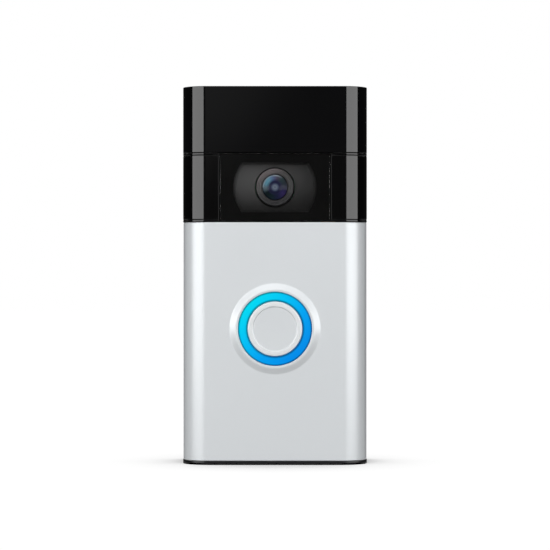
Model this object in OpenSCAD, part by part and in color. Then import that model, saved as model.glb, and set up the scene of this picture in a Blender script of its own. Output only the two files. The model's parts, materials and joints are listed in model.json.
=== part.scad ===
// A slim video doorbell: a mains or battery powered unit that hooks over a wall bracket.
// Frame: X is the width, +Z is up and the front faces -Y. The wall is the plane Y = 0, and the
// origin is the middle of the bracket's four screw holes on the wall.
// Two working measures are used: f is the distance in front of the wall, h the height above the base.

/* [Body] */
// Width of the body
body_w = 62; // [60:0.5:66]
// Height of the body
body_h = 126.5; // [126:0.5:130]
// Distance from the wall to the flat front
front_f = 27.2; // [27.2:0.1:29]
// Radius of the two upright front edges
corner_r = 8; // [7:0.5:8]
// Distance from the wall to the rim of the rear housing
rear_f = 0.6; // [0.3:0.1:0.8]
// Distance from the wall to the joint between the rear housing and the front
part_f = 8; // [7.8:0.1:8]
// Thickness of the outer skins
skin_t = 1.2; // [1:0.1:1.2]

/* [Front bands] */
// Height of the black strip under the faceplate
strip_h = 1.2; // [1:0.1:1.5]
// Top edge of the faceplate
faceplate_top = 81; // [80.5:0.1:81]
// Bottom edge of the camera section
camera_bottom = 81.15; // [81.1:0.05:81.4]
// Top edge of the camera section
camera_top = 104.2; // [104:0.1:104.2]
// Bottom edge of the top cover
cover_bottom = 104.35; // [104.3:0.05:104.8]

/* [Camera] */
// Height of the lens axis
camera_h = 92.75; // [92.5:0.05:93]
// Width of the window panel
window_w = 36.7; // [36:0.1:37]
// Height of the window panel
window_tall = 22.5; // [22:0.1:22.6]
// Radius of the clear part of the window
clear_r = 14; // [13.5:0.1:14.2]
// Half height of the clear part, where the circle is cut flat
clear_half = 8.4; // [8:0.1:8.6]
// Radius of the front lens
lens_r = 4.3; // [4:0.05:4.3]

/* [Doorbell button] */
// Height of the button's centre
button_h = 45.35; // [44:0.05:46]
// Radius of the button cap
button_r = 9.15; // [9:0.05:9.2]
// Outer radius of the lit ring
ring_r = 12.3; // [12.2:0.05:12.3]
// Outer radius of the raised bezel
bezel_r = 15.4; // [15:0.05:16]
// Distance from the wall to the crest of the bezel
bezel_f = 28; // [27.8:0.1:28.2]

/* [Wall bracket] */
// Width of the bracket plate
bracket_w = 50; // [50:0.5:50]
// Height of the bracket plate
bracket_tall = 102; // [100:0.5:102]
// Thickness of the bracket plate
bracket_t = 2.6; // [2.4:0.1:2.6]
// Distance between the screw holes across the width
screw_dx = 40; // [38:0.5:40]
// Distance between the screw holes up the height
screw_dz = 88; // [86:0.5:88]
// Radius of the screw holes
screw_r = 2.2; // [2:0.1:2.4]
// Heights of the lower ends of the hook tabs
hook_heights = [33, 93];

/* [Hidden] */
$fn = 96;

mid_h = body_h / 2;
half_w = body_w / 2;
sides = [-1, 1];
eps = 0.5;                          // how far a cutting shape runs past a face

// Skins and frame, one inside the other
skin_gap = 0.15;                    // the faceplate is set in from the black outline
skin_in = skin_gap + skin_t;        // inner face of every skin, outer face of the frame
frame_t = 1.6;
frame_in = skin_in + frame_t;
front_start = part_f + 0.2;         // rear edge of the front shell
frame_front = front_f - skin_in;
frame_back = front_f - frame_in;    // rear face of the frame's front wall
frame_top = body_h - skin_in - 0.05;
cover_ceiling = body_h - skin_in;

// Rear housing
floor_f = 4.5;                      // floor of the recess that takes the bracket
floor_t = 1.8;
inner_f = floor_f + floor_t;
rim_t = 2.2;
rear_r = 2;
recess_bottom = 4;
recess_top = 124;
recess_r = 4;

// Hook tabs and the ledges behind them
hook_tall = 7;
tab_in = 22;
tab_out = 28;
tab_f0 = 2.4;
tab_f1 = 3.9;
ledge_x = 26;
ledge_f0 = 0.9;
ledge_f1 = 2.1;
shoulder_gap = 0.1;
shoulder_tall = 2;

// Security screws in the bottom wall
guard_x = 18;
guard_f = 2.7;
guard_r = 0.9;
guard_head_r = 1.7;
guard_head_h = 1.7;
guard_tip_h = 13.8;
guard_clear = 0.25;

// Case screws and board screws
case_x = 25.3;
case_heights = [9, 64.2, 120];
case_boss_r = 2.5;
case_boss_f = 16;
case_r = 1.1;
case_head_r = 2.2;
case_head_t = 1;
board_x = 19.8;
board_heights = [69, 119];
pilot_r = 0.8;
small_boss_r = 1.5;

// Main board and what stands behind it
board_f = 9.4;
board_t = 1.2;
board_front = board_f + board_t;
board_w = 44.8;
board_bottom = 66;
board_top = 122;
port_h = 90;
port_f = 5;
setup_x = 11;
setup_r = 2.9;
terminal_x = 7;
terminal_h = 76;
plate_side = 8;
plate_t = 0.6;
post_r = 2.6;
terminal_r = 1.35;

// Camera stack, from the back
camera_board_f = 13.4;
camera_board_t = 1;
camera_board_front = camera_board_f + camera_board_t;
standoff_at = 8.5;
barrel_f0 = 16.5;
barrel_f1 = 24.9;
barrel_r = 5.6;
flange_r = 6.3;
flange_f = 22.5;
window_f = 25.7;
mask_t = 0.2;
pocket_f = window_f - mask_t;       // floor of the pocket that holds the mask and window
pocket_t = 0.8;
pocket_half = 20.1;
slot_half = 18.8;                   // half width of the opening between the wings
ir_board_f = 20.5;
ir_board_t = 0.8;
ir_x = 16.4;
ir_dh = 5;
ir_post_x = 22;
ir_post_dh = 6.75;

// Motion sensors behind the top cover
pir_h = 114;
pir_board_f = 17;
pir_board_t = 1;
pir_x = 12;
pir_post_x = 21.2;

// Button stack, from the back
button_board_f = 19.2;
button_board_t = 1;
button_board_front = button_board_f + button_board_t;
button_board_r = 18.5;
button_post_at = 16.8;
membrane_f = 22.4;
membrane_t = 0.6;
membrane_front = membrane_f + membrane_t;
ring_step_f = 24.5;
ring_front = 27;
ring_hole_r = ring_r + 0.1;

// Battery
battery_w = 42;
battery_f0 = 7.8;
battery_f1 = 17.3;
battery_bottom = 12;
battery_top = 62;

// Speaker, microphone and their wires
speaker_w = 32;
speaker_d = 14.4;
speaker_f = 16.5;
speaker_h0 = strip_h + 0.6;
speaker_h1 = 6.6;
speaker_wall = 1.8;
speaker_tab_x = 16.4;
speaker_wire_h = 4.2;
magnet_r = 5.3;
wire_r = 0.35;
wire_x = 21.9;
wire_fs = [11.5, 12.5];
mic_f = 12;
mic_hole_r = 0.6;

// Colours
black = [0.06, 0.06, 0.07];
glass = [0.03, 0.03, 0.04];
silver = [0.83, 0.85, 0.86];
blue = [0.05, 0.62, 0.95];
grey = [0.35, 0.35, 0.37];
steel = [0.7, 0.7, 0.72];
brass = [0.8, 0.65, 0.3];
board_green = [0.05, 0.25, 0.15];
flex_amber = [0.75, 0.45, 0.1];
rubber = [0.15, 0.15, 0.16];

// ---- Shared shapes ----

// Moves its children to x, to f in front of the wall and to h above the base
module at(x, f, h) {
    translate([x, -f, h - mid_h]) children();
}

// Extrudes a flat outline, drawn as seen from the front, between two distances from the wall
module forward(x, h, f0, f1) {
    at(x, f0, h) rotate([90, 0, 0]) linear_extrude(f1 - f0) children();
}

// Spins a profile of (radius, f) points about an axis that runs straight out from the wall
module spun(x, h) {
    at(x, 0, h) rotate([90, 0, 0]) rotate_extrude() children();
}

// A block centred on x and h
module slab(x, h, w, tall, f0, f1) {
    forward(x, h, f0, f1) square([w, tall], center = true);
}

// A block with round corners, centred on x and h
module round_slab(x, h, w, tall, r, f0, f1) {
    forward(x, h, f0, f1) round_rect(w, tall, r);
}

// A round rod that runs straight out from the wall
module rod(x, h, r, f0, f1) {
    forward(x, h, f0, f1) circle(r);
}

// A round rod that runs upright
module upright(x, f, r, h0, h1) {
    at(x, f, h0) cylinder(r = r, h = h1 - h0);
}

module round_rect(w, tall, r) {
    square([w - 2 * r, tall], center = true);
    square([w, tall - 2 * r], center = true);
    for (sx = sides, sy = sides)
        translate([sx * (w / 2 - r), sy * (tall / 2 - r)]) circle(r);
}

// An oblong with round ends, w long and d wide
module oblong(w, d) {
    square([w - d, d], center = true);
    for (side = sides)
        translate([side * (w - d) / 2, 0]) circle(d / 2);
}

// The body seen from above, drawn in by inset, open to the wall
module plan(inset) {
    half = half_w - inset;
    centre_x = half_w - corner_r;
    centre_f = front_f - corner_r;
    translate([-half, -centre_f]) square([2 * half, centre_f]);
    translate([-centre_x, inset - front_f]) square([2 * centre_x, front_f - inset]);
    for (side = sides)
        translate([side * centre_x, -centre_f]) circle(corner_r - inset);
}

// An upright prism of the body's plan between two distances from the wall
module plan_prism(inset, f0, f1, h0, h1) {
    at(0, 0, h0) linear_extrude(h1 - h0) intersection() {
        plan(inset);
        translate([-body_w, -f1]) square([2 * body_w, f1 - f0]);
    }
}

// A skin between two insets of the plan, open at the back, top and bottom
module skin(outer, h0, h1) {
    difference() {
        plan_prism(outer, front_start, front_f, h0, h1);
        plan_prism(skin_in, front_start - eps, front_f, h0 - eps, h1 + eps);
    }
}

// The clear part of the window, a circle cut flat above and below
module clear_outline(grow) {
    intersection() {
        circle(clear_r + grow);
        square([3 * clear_r, 2 * (clear_half + grow)], center = true);
    }
}

// A thin ribbon through a list of (f, h) points, with square bends
module ribbon(x, w, points) {
    half_t = 0.08;
    for (i = [0 : len(points) - 2]) {
        low_f = min(points[i][0], points[i + 1][0]) - half_t;
        high_f = max(points[i][0], points[i + 1][0]) + half_t;
        low_h = min(points[i][1], points[i + 1][1]) - half_t;
        high_h = max(points[i][1], points[i + 1][1]) + half_t;
        slab(x, (low_h + high_h) / 2, w, high_h - low_h, low_f, high_f);
    }
}

// ---- Wall bracket ----

// Plate with four hook tabs, a lip for the security screws and an opening for the wall wires
module mounting_bracket() {
    head_r = 4.2;
    head_f = 1.4;
    opening_w = 30;
    opening_tall = 36;
    opening_h = 83.25;
    opening_r = 3;
    lip_w = 10;
    lip_f = 4.2;
    lip_tall = 3;
    slot_w = 24;
    slot_tall = 6;
    slot_heights = [33, 48];
    plate_bottom = mid_h - bracket_tall / 2;
    color(grey) difference() {
        union() {
            round_slab(0, mid_h, bracket_w, bracket_tall, recess_r, 0, bracket_t);
            for (side = sides) {
                for (h = hook_heights)
                    slab(side * (tab_in + tab_out) / 2, h + hook_tall / 2, tab_out - tab_in, hook_tall,
                         tab_f0, tab_f1);
                slab(side * guard_x, plate_bottom + lip_tall / 2, lip_w, lip_tall, bracket_t / 2, lip_f);
            }
        }
        round_slab(0, opening_h, opening_w, opening_tall, opening_r, -eps, bracket_t + eps);
        for (h = slot_heights)
            forward(0, h, -eps, bracket_t + eps) oblong(slot_w, slot_tall);
        for (sx = sides, sz = sides) {
            rod(sx * screw_dx / 2, mid_h + sz * screw_dz / 2, screw_r, -eps, bracket_t + eps);
            rod(sx * screw_dx / 2, mid_h + sz * screw_dz / 2, head_r, head_f, bracket_t + eps);
        }
        for (side = sides)
            upright(side * guard_x, guard_f, guard_r + guard_clear, plate_bottom - eps,
                    plate_bottom + bracket_tall / 8);
    }
}

// ---- Rear housing and its fasteners ----

// The rear housing seen from above, with small round rear edges
module rear_plan() {
    translate([rear_r - half_w, -part_f]) square([body_w - 2 * rear_r, part_f - rear_f]);
    translate([-half_w, -part_f]) square([body_w, part_f - rear_f - rear_r]);
    for (side = sides)
        translate([side * (half_w - rear_r), -(rear_f + rear_r)]) circle(rear_r);
}

// Shallow tray with a recess at the back for the bracket and bosses at the front for the boards
module rear_housing() {
    recess_mid = (recess_bottom + recess_top) / 2;
    inner_w = body_w - 2 * rim_t;
    boss_r = 2.4;
    rib_x = 21.7;
    rib_tall = 10;
    port_w = 9.6;
    port_tall = 3.8;
    color(black) difference() {
        union() {
            difference() {
                at(0, 0, 0) linear_extrude(body_h) rear_plan();
                round_slab(0, recess_mid, inner_w, recess_top - recess_bottom, recess_r, 0, floor_f);
                round_slab(0, mid_h, inner_w, body_h - 2 * rim_t, recess_r, inner_f, part_f + eps);
            }
            for (side = sides) {
                for (h = hook_heights) {
                    slab(side * (ledge_x + half_w - 1) / 2, h + hook_tall / 2, half_w - 1 - ledge_x,
                         hook_tall, ledge_f0, ledge_f1);
                    slab(side * (ledge_x + half_w - 1) / 2,
                         h + hook_tall + shoulder_gap + shoulder_tall / 2, half_w - 1 - ledge_x,
                         shoulder_tall, ledge_f0, inner_f);
                }
                for (h = board_heights)
                    rod(side * board_x, h, boss_r, floor_f + floor_t / 2, board_f);
                for (h = case_heights)
                    rod(side * case_x, h, case_boss_r, floor_f + floor_t / 2, part_f);
                for (h = [battery_bottom, battery_top - rib_tall])
                    slab(side * rib_x, h + rib_tall / 2, 1, rib_tall, inner_f - eps, battery_f0 + 2);
            }
        }
        // Holes for the screws that close the case, with room for their heads
        for (side = sides, h = case_heights) {
            rod(side * case_x, h, case_r + 0.15, 0, part_f + eps);
            rod(side * case_x, h, case_head_r + 0.1, 0, floor_f + case_head_t);
        }
        for (side = sides, h = board_heights)
            rod(side * board_x, h, pilot_r, inner_f, board_f + eps);
        // Charging port, setup button and wire terminals
        forward(0, port_h, 0, inner_f + eps) oblong(port_w, port_tall);
        rod(setup_x, port_h, setup_r + 0.2, 0, inner_f + eps);
        for (side = sides) {
            rod(side * terminal_x, terminal_h, post_r + 0.1, 0, inner_f + eps);
            slab(side * terminal_x, terminal_h, plate_side + 0.2, plate_side + 0.2, 0, floor_f + plate_t);
            upright(side * guard_x, guard_f, guard_r + 0.15, -eps, recess_bottom + eps);
            upright(side * guard_x, guard_f, guard_head_r + 0.2, -eps, guard_head_h);
        }
        rear_label_outline(0.1, 0, floor_f + 0.25);
    }
}

module rear_label_outline(grow, f0, f1) {
    label_w = 34;
    label_tall = 22;
    label_h = 40;
    round_slab(0, label_h, label_w + 2 * grow, label_tall + 2 * grow, 2 + grow, f0, f1);
}

// Blank rating label, let into the floor of the recess
module rear_label() {
    color(silver) rear_label_outline(0, floor_f, floor_f + 0.25);
}

// Soft cord seal between the rear housing and the front frame
module housing_seal() {
    seal_half = half_w - 1.4;
    seal_t = 0.7;
    seal_bottom = strip_h - seal_t;
    seal_mid = (seal_bottom + frame_top) / 2;
    seal_tall = frame_top - seal_bottom;
    color(rubber) difference() {
        round_slab(0, seal_mid, 2 * seal_half, seal_tall, 1.5, part_f, front_start);
        round_slab(0, seal_mid, 2 * (seal_half - seal_t), seal_tall - 2 * seal_t, 1,
                   part_f - eps, front_start + eps);
    }
}

// Six screws that pull the rear housing and the front frame together
module case_screws() {
    color(steel) for (side = sides, h = case_heights)
        pan_screw(side * case_x, h, case_head_r, case_r, floor_f + 0.1, floor_f + case_head_t, 14);
}

// A screw along the depth: its head from f0 to f1, its shank on to f2, with a cross recess
module pan_screw(x, h, head_r, shank_r, f0, f1, f2) {
    recess_w = head_r * 1.1;
    difference() {
        union() {
            rod(x, h, head_r, f0, f1);
            rod(x, h, shank_r, f1, f2);
        }
        for (turn = [0, 90])
            at(x, 0, h) rotate([0, turn, 0]) at(0, 0, mid_h)
                slab(0, mid_h, recess_w, head_r / 4, f0 - eps, f0 + 0.5);
    }
}

// A tamper-proof screw that runs up through the bottom wall into the bracket's lip
module security_screw(side) {
    socket_r = 0.85;
    color(steel) difference() {
        union() {
            upright(side * guard_x, guard_f, guard_head_r, 0.3, guard_head_h);
            upright(side * guard_x, guard_f, guard_r, guard_head_h, guard_tip_h);
        }
        at(side * guard_x, guard_f, -eps) cylinder(r = socket_r, h = 1.1 + eps, $fn = 6);
    }
}

module security_screw_left() {
    security_screw(-1);
}

module security_screw_right() {
    security_screw(1);
}

// ---- Wire terminals, setup button and charging port ----

// Two brass plates with threaded posts that reach the main board
module terminal_plates() {
    color(brass) for (side = sides) difference() {
        union() {
            slab(side * terminal_x, terminal_h, plate_side, plate_side, floor_f, floor_f + plate_t);
            rod(side * terminal_x, terminal_h, post_r, floor_f + plate_t, board_f);
        }
        rod(side * terminal_x, terminal_h, terminal_r + 0.1, floor_f - eps, board_f - 0.4);
    }
}

// A terminal screw with its captive square washer
module terminal_screw(side) {
    washer_side = 6.4;
    head_f = 2.6;
    washer_f = 4;
    x = side * terminal_x;
    color(steel) difference() {
        union() {
            slab(x, terminal_h, washer_side, washer_side, washer_f, floor_f);
            rod(x, terminal_h, 3, head_f, washer_f);
            rod(x, terminal_h, terminal_r, floor_f, 8.4);
        }
        for (turn = [0, 90])
            at(x, 0, terminal_h) rotate([0, turn, 0]) at(0, 0, mid_h)
                slab(0, mid_h, 3.4, 0.8, head_f - eps, head_f + 0.8);
    }
}

module terminal_screw_left() {
    terminal_screw(-1);
}

module terminal_screw_right() {
    terminal_screw(1);
}

// Orange setup button, held in from inside by its flange
module setup_button() {
    face_f = 3.7;
    flange_t = 0.6;
    stem_f = 7.5;
    color("darkorange") {
        rod(setup_x, port_h, setup_r, face_f, inner_f);
        rod(setup_x, port_h, setup_r + 0.9, inner_f, inner_f + flange_t);
        rod(setup_x, port_h, 1.2, inner_f + flange_t, stem_f);
    }
}

module setup_switch() {
    color(steel) slab(setup_x, port_h, 6, 3.6, 8.2, board_f);
}

// Charging socket, facing the wall, with its contact tongue
module usb_port() {
    shell_w = 9;
    shell_tall = 3.2;
    shell_t = 0.3;
    color(steel) {
        difference() {
            forward(0, port_h, port_f, board_f) oblong(shell_w, shell_tall);
            forward(0, port_h, port_f - eps, board_f - 0.6)
                oblong(shell_w - 2 * shell_t, shell_tall - 2 * shell_t);
        }
        slab(0, port_h, 6.6, 0.7, port_f + 0.7, board_f - 0.3);
    }
}

// ---- Main board ----

module main_board() {
    color(board_green) difference() {
        round_slab(0, (board_bottom + board_top) / 2, board_w, board_top - board_bottom, 1.5,
                   board_f, board_front);
        for (side = sides, h = board_heights)
            rod(side * board_x, h, pilot_r + 0.2, board_f - eps, board_front + eps);
    }
}

// Screws of the main board, the lamp board, the motion sensor board and the button board
module board_screws() {
    color(steel) {
        for (side = sides) {
            for (h = board_heights)
                board_screw(side * board_x, h, board_front, board_t + 2.6);
            for (dh = sides)
                front_screw(side * ir_post_x, camera_h + dh * ir_post_dh, ir_board_f, ir_board_t);
            front_screw(side * pir_post_x, pir_h, pir_board_f, pir_board_t);
        }
        for (turn = [90, 210, 330])
            front_screw(button_post_at * cos(turn), button_h + button_post_at * sin(turn),
                        button_board_f, button_board_t);
    }
}

// A small screw driven from the front towards the wall
module board_screw(x, h, face_f, reach) {
    rod(x, h, 1.6, face_f, face_f + 1.1);
    rod(x, h, pilot_r, face_f - reach, face_f);
}

// A small screw driven from behind through a board into a post of the frame
module front_screw(x, h, face_f, thickness) {
    rod(x, h, 1.6, face_f - 1.1, face_f);
    rod(x, h, pilot_r, face_f, face_f + thickness + 1.6);
}

// Processor, memory and power chips
module board_chips() {
    color(rubber) {
        slab(0, 96, 12, 12, board_front, board_front + 1.2);
        slab(-15.5, 93, 8, 11, board_front, board_front + 1);
        slab(8, 79, 6, 6, board_front, board_front + 0.9);
        slab(-13, 79, 5, 4, board_front, board_front + 0.9);
    }
}

// Pressed shields over the radio and the video chips
module shield_cans() {
    can_side = 13;
    can_h = 111;
    can_x = 12;
    can_t = 2.2;
    color(steel) for (side = sides) difference() {
        round_slab(side * can_x, can_h, can_side, can_side, 1, board_front, board_front + can_t);
        round_slab(side * can_x, can_h, can_side - 0.5, can_side - 0.5, 0.8,
                   board_front - eps, board_front + can_t - 0.25);
    }
}

// Stamped wireless antenna on the top edge of the main board
module wifi_antenna() {
    antenna_x = -11;
    antenna_w = 13;
    color(brass) {
        slab(antenna_x, board_top - 1.2, antenna_w, 0.4, board_front, board_front + 4);
        slab(antenna_x, board_top - 2, antenna_w, 1.8, board_front + 3.7, board_front + 4);
    }
}

// Sockets for the battery, the wires and the ribbons, and the link to the camera board
module board_connectors() {
    socket_t = 1.2;
    color("ivory") {
        slab(0, 68.2, 7, 3.4, board_front, board_front + 2.6);
        for (side = sides)
            slab(side * wire_x, board_bottom + 1.7, 1, 3.4, board_front, board_front + 2.6);
        slab(-8, 69, 7, 2.4, board_front, board_front + socket_t);
        slab(0, 117.4, 7, 2.4, board_front, board_front + socket_t);
        slab(18.2, 80, 6, 2.4, board_front, board_front + socket_t);
        slab(0, 86.5, 12, 3, board_front, camera_board_f);
        slab(-8, 57, 7, 2.4, button_board_f - socket_t, button_board_f);
        slab(0, 117.4, 7, 2.4, pir_board_f - socket_t, pir_board_f);
        slab(18.2, 90, 6, 2.4, ir_board_f - socket_t, ir_board_f);
    }
}

// ---- Front shell ----

// Black inner frame with the bottom strip, the bosses and the openings for what looks out
module front_frame() {
    window_half = pocket_half + 0.1;
    pir_w = 36;
    pir_tall = 12;
    slot_count = 7;
    slot_pitch = 3.6;
    slot_w = 1.4;
    slot_d = 9;
    color(black) difference() {
        union() {
            plan_prism(0, front_start, front_f, 0, strip_h);
            difference() {
                plan_prism(skin_in, front_start, front_f, 0, frame_top);
                plan_prism(frame_in, front_start - eps, front_f, strip_h, frame_top - frame_t);
            }
            for (side = sides) {
                for (h = case_heights) {
                    rod(side * case_x, h, case_boss_r, front_start, case_boss_f);
                    slab(side * (case_x + half_w - frame_in) / 2, h, half_w - frame_in - case_x + 1, 2,
                         front_start, case_boss_f);
                }
                for (dh = sides)
                    rod(side * ir_post_x, camera_h + dh * ir_post_dh, small_boss_r,
                        ir_board_f + ir_board_t, frame_back + eps);
                rod(side * pir_post_x, pir_h, small_boss_r, pir_board_f + pir_board_t, frame_back + eps);
            }
            for (turn = [90, 210, 330])
                rod(button_post_at * cos(turn), button_h + button_post_at * sin(turn), small_boss_r,
                    button_board_front, frame_back + eps);
        }
        // Openings for the button, the camera and the motion sensors
        rod(0, button_h, ring_hole_r, frame_back - eps, front_f);
        slab(0, (camera_bottom + camera_top) / 2, 2 * window_half, camera_top - camera_bottom + 0.2,
             frame_back - eps, front_f);
        round_slab(0, pir_h, pir_w, pir_tall, 1.5, frame_back - eps, front_f);
        // Sound holes in the bottom
        for (i = [0 : slot_count - 1])
            at((i - (slot_count - 1) / 2) * slot_pitch, speaker_f, -eps) linear_extrude(strip_h + 2 * eps)
                rotate(90) oblong(slot_d, slot_w);
        upright(wire_x, mic_f, mic_hole_r, -eps, strip_h + eps);
        // Pilot holes
        for (side = sides) {
            for (h = case_heights)
                rod(side * case_x, h, case_r, front_start - eps, case_boss_f - 1);
            for (dh = sides)
                rod(side * ir_post_x, camera_h + dh * ir_post_dh, pilot_r, ir_board_f, frame_back - 1);
            rod(side * pir_post_x, pir_h, pilot_r, pir_board_f, frame_back - 1);
        }
        for (turn = [90, 210, 330])
            rod(button_post_at * cos(turn), button_h + button_post_at * sin(turn), pilot_r,
                button_board_f, frame_back - 1);
    }
}

// Silver faceplate that wraps the front and sides, with a raised bezel around the button
module faceplate() {
    crest_in = 12.6;
    crest_out = 13;
    face_f = front_f - skin_gap;
    root_f = frame_front + skin_t / 2;
    color(silver) difference() {
        union() {
            skin(skin_gap, strip_h, faceplate_top);
            spun(0, button_h) polygon([
                [ring_hole_r, root_f], [ring_hole_r, bezel_f - 0.25], [crest_in, bezel_f],
                [crest_out, bezel_f], [bezel_r, face_f], [bezel_r, root_f]
            ]);
        }
        rod(0, button_h, ring_hole_r, frame_front - eps, bezel_f + eps);
    }
}

// Glossy black cap over the motion sensors, closed on top
module top_cover() {
    color(glass) difference() {
        plan_prism(0, front_start, front_f, cover_bottom, body_h);
        plan_prism(skin_in, front_start - eps, front_f, cover_bottom - eps, cover_ceiling);
    }
}

// Black camera section: two wings joined behind the window, with a fine groove near each edge
module camera_surround() {
    groove_w = 0.25;
    groove_d = 0.2;
    groove_in = 0.75;
    section_h = (camera_bottom + camera_top) / 2;
    section_tall = camera_top - camera_bottom;
    color(black) difference() {
        union() {
            skin(0, camera_bottom, camera_top);
            slab(0, section_h, 2 * pocket_half, section_tall, pocket_f - pocket_t, frame_front + eps);
        }
        slab(0, section_h, 2 * slot_half, section_tall + 2 * eps, pocket_f, front_f + eps);
        forward(0, camera_h, pocket_f - pocket_t - eps, pocket_f + eps) clear_outline(0.6);
        for (side = sides, dh = sides)
            rod(side * ir_x, camera_h + dh * ir_dh, 1.9, pocket_f - pocket_t - eps, pocket_f + eps);
        for (h = [camera_bottom + groove_in, camera_top - groove_in]) difference() {
            plan_prism(-eps, front_start - eps, front_f + eps, h - groove_w / 2, h + groove_w / 2);
            plan_prism(groove_d, 0, front_f, h - groove_w, h + groove_w);
        }
    }
}

// ---- Camera ----

module camera_window() {
    color(glass) round_slab(0, camera_h, window_w, window_tall, 0.6, window_f, front_f);
}

// Black print behind the window, clear in the middle
module window_mask() {
    color(black) difference() {
        round_slab(0, camera_h, window_w, window_tall, 0.6, pocket_f, window_f);
        forward(0, camera_h, pocket_f - eps, window_f + eps) clear_outline(0);
    }
}

// Dark grey bowl around the lens
module camera_baffle() {
    floor_back = 22.7;
    floor_front = 23.5;
    rim_t = 0.5;
    flange_grow = 1.6;
    flange_f0 = pocket_f - pocket_t - 0.5;
    color(grey) difference() {
        union() {
            forward(0, camera_h, floor_back, pocket_f) clear_outline(rim_t);
            forward(0, camera_h, flange_f0, pocket_f - pocket_t) clear_outline(flange_grow);
        }
        forward(0, camera_h, floor_front, pocket_f + eps) clear_outline(0);
        rod(0, camera_h, flange_r + 0.4, floor_back - eps, floor_front + eps);
    }
}

// Domed front lens, coated
module front_lens() {
    seat_f = 23.4;
    edge_f = 24.4;
    dome = 0.9;
    dome_r = (lens_r * lens_r + dome * dome) / (2 * dome);
    color(blue) intersection() {
        rod(0, camera_h, lens_r, seat_f, edge_f + dome + eps);
        at(0, edge_f + dome - dome_r, camera_h) sphere(dome_r);
    }
}

module lens_barrel() {
    bore = 3.2;
    seat_f = 23.4;
    seat_r = lens_r + 0.05;
    color(grey) spun(0, camera_h) polygon([
        [bore, barrel_f0], [barrel_r, barrel_f0], [barrel_r, flange_f], [flange_r, flange_f],
        [flange_r, barrel_f1], [seat_r, barrel_f1], [seat_r, seat_f], [bore, seat_f]
    ]);
}

module rear_lens() {
    color(blue) rod(0, camera_h, 3.2, 17.2, 18.6);
}

// Square holder that carries the barrel over the image sensor
module lens_holder() {
    side = 16;
    base_f = 16.4;
    tower_r = 7;
    tower_f = 19.6;
    filter_f = 15.9;
    color(black) difference() {
        union() {
            round_slab(0, camera_h, side, side, 1, camera_board_front, base_f);
            rod(0, camera_h, tower_r, base_f - eps, tower_f);
        }
        rod(0, camera_h, barrel_r, barrel_f0, tower_f + eps);
        rod(0, camera_h, 4, camera_board_front, barrel_f0 + eps);
        slab(0, camera_h, 12, 12, camera_board_front - eps, camera_board_front + 1);
        slab(0, camera_h, 9.2, 9.2, camera_board_front, filter_f);
    }
}

// Thin infrared filter under the holder's aperture
module ir_cut_filter() {
    color("lightblue") slab(0, camera_h, 9, 9, 15.5, 15.9);
}

module image_sensor() {
    color(rubber) slab(0, camera_h, 9, 8, camera_board_front, camera_board_front + 0.8);
}

module camera_board() {
    color(board_green) round_slab(0, camera_h, 20, 20, 1, camera_board_f, camera_board_front);
}

// Four pillars between the main board and the camera board
module camera_standoffs() {
    color(brass) for (side = sides, dh = sides)
        rod(side * standoff_at, camera_h + dh * standoff_at, 1.4, board_front, camera_board_f);
}

// Board with the night lamps, with a hole for the lens barrel
module ir_board() {
    ir_board_w = 49;
    ir_board_tall = 18;
    color(board_green) difference() {
        round_slab(0, camera_h, ir_board_w, ir_board_tall, 1.5, ir_board_f, ir_board_f + ir_board_t);
        rod(0, camera_h, flange_r + 0.3, ir_board_f - eps, ir_board_f + ir_board_t + eps);
        for (side = sides, dh = sides)
            rod(side * ir_post_x, camera_h + dh * ir_post_dh, pilot_r, ir_board_f - eps,
                ir_board_f + ir_board_t + eps);
    }
}

// Four infrared lamps with round caps
module ir_leds() {
    base_f = ir_board_f + ir_board_t;
    color("thistle") for (side = sides, dh = sides) {
        rod(side * ir_x, camera_h + dh * ir_dh, 1.6, base_f, base_f + 1);
        rod(side * ir_x, camera_h + dh * ir_dh, 1.2, base_f + 1, base_f + 2.4);
    }
}

// Ribbons from the main board to the motion sensor board and to the lamp board
module sensor_flexes() {
    start_f = board_front + 1.28;
    end_pir = pir_board_f - 1.28;
    end_ir = ir_board_f - 1.28;
    color(flex_amber) {
        ribbon(0, 6, [[start_f, 117.4], [start_f, 119.2], [end_pir, 119.2], [end_pir, 117.4]]);
        ribbon(18.2, 5, [[start_f, 80], [start_f, 84], [end_ir, 84], [end_ir, 90]]);
    }
}

// ---- Motion sensors ----

module pir_board() {
    color(board_green) difference() {
        round_slab(0, pir_h, 49, 13, 1.5, pir_board_f, pir_board_f + pir_board_t);
        for (side = sides)
            rod(side * pir_post_x, pir_h, pilot_r, pir_board_f - eps, pir_board_f + pir_board_t + eps);
    }
}

// Two heat sensors in round cans, each with a small front window left as a shallow pocket
module pir_sensors() {
    can_f0 = pir_board_f + pir_board_t;
    can_f1 = 22.5;
    color(steel) for (side = sides) difference() {
        union() {
            rod(side * pir_x, pir_h, 4.6, can_f0, can_f0 + 0.6);
            rod(side * pir_x, pir_h, 4.1, can_f0, can_f1);
        }
        slab(side * pir_x, pir_h, 4, 3, can_f1 - 0.3, can_f1 + eps);
    }
}

// Thin lens sheet in front of the heat sensors
module pir_lens() {
    color("white") round_slab(0, pir_h, 38.6, 15, 1.5, frame_back - 0.6, frame_back);
}

// ---- Doorbell button ----

// Round cap with a raised rim, a flange behind and a stem for the switch
module button_cap() {
    rim_f = 27.3;
    face_f = 26.9;
    face_r = 7.35;
    back_f = 25.3;
    skirt_in = 8;
    flange_f1 = 24.4;
    flange_f0 = 23.6;
    stem_r = 2.2;
    color(silver) spun(0, button_h) polygon([
        [0, membrane_front], [stem_r, membrane_front], [stem_r, back_f], [skirt_in, back_f],
        [skirt_in, flange_f0], [button_r + 0.75, flange_f0], [button_r + 0.75, flange_f1],
        [button_r, flange_f1], [button_r, rim_f], [face_r, rim_f], [face_r, face_f], [0, face_f]
    ]);
}

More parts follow.
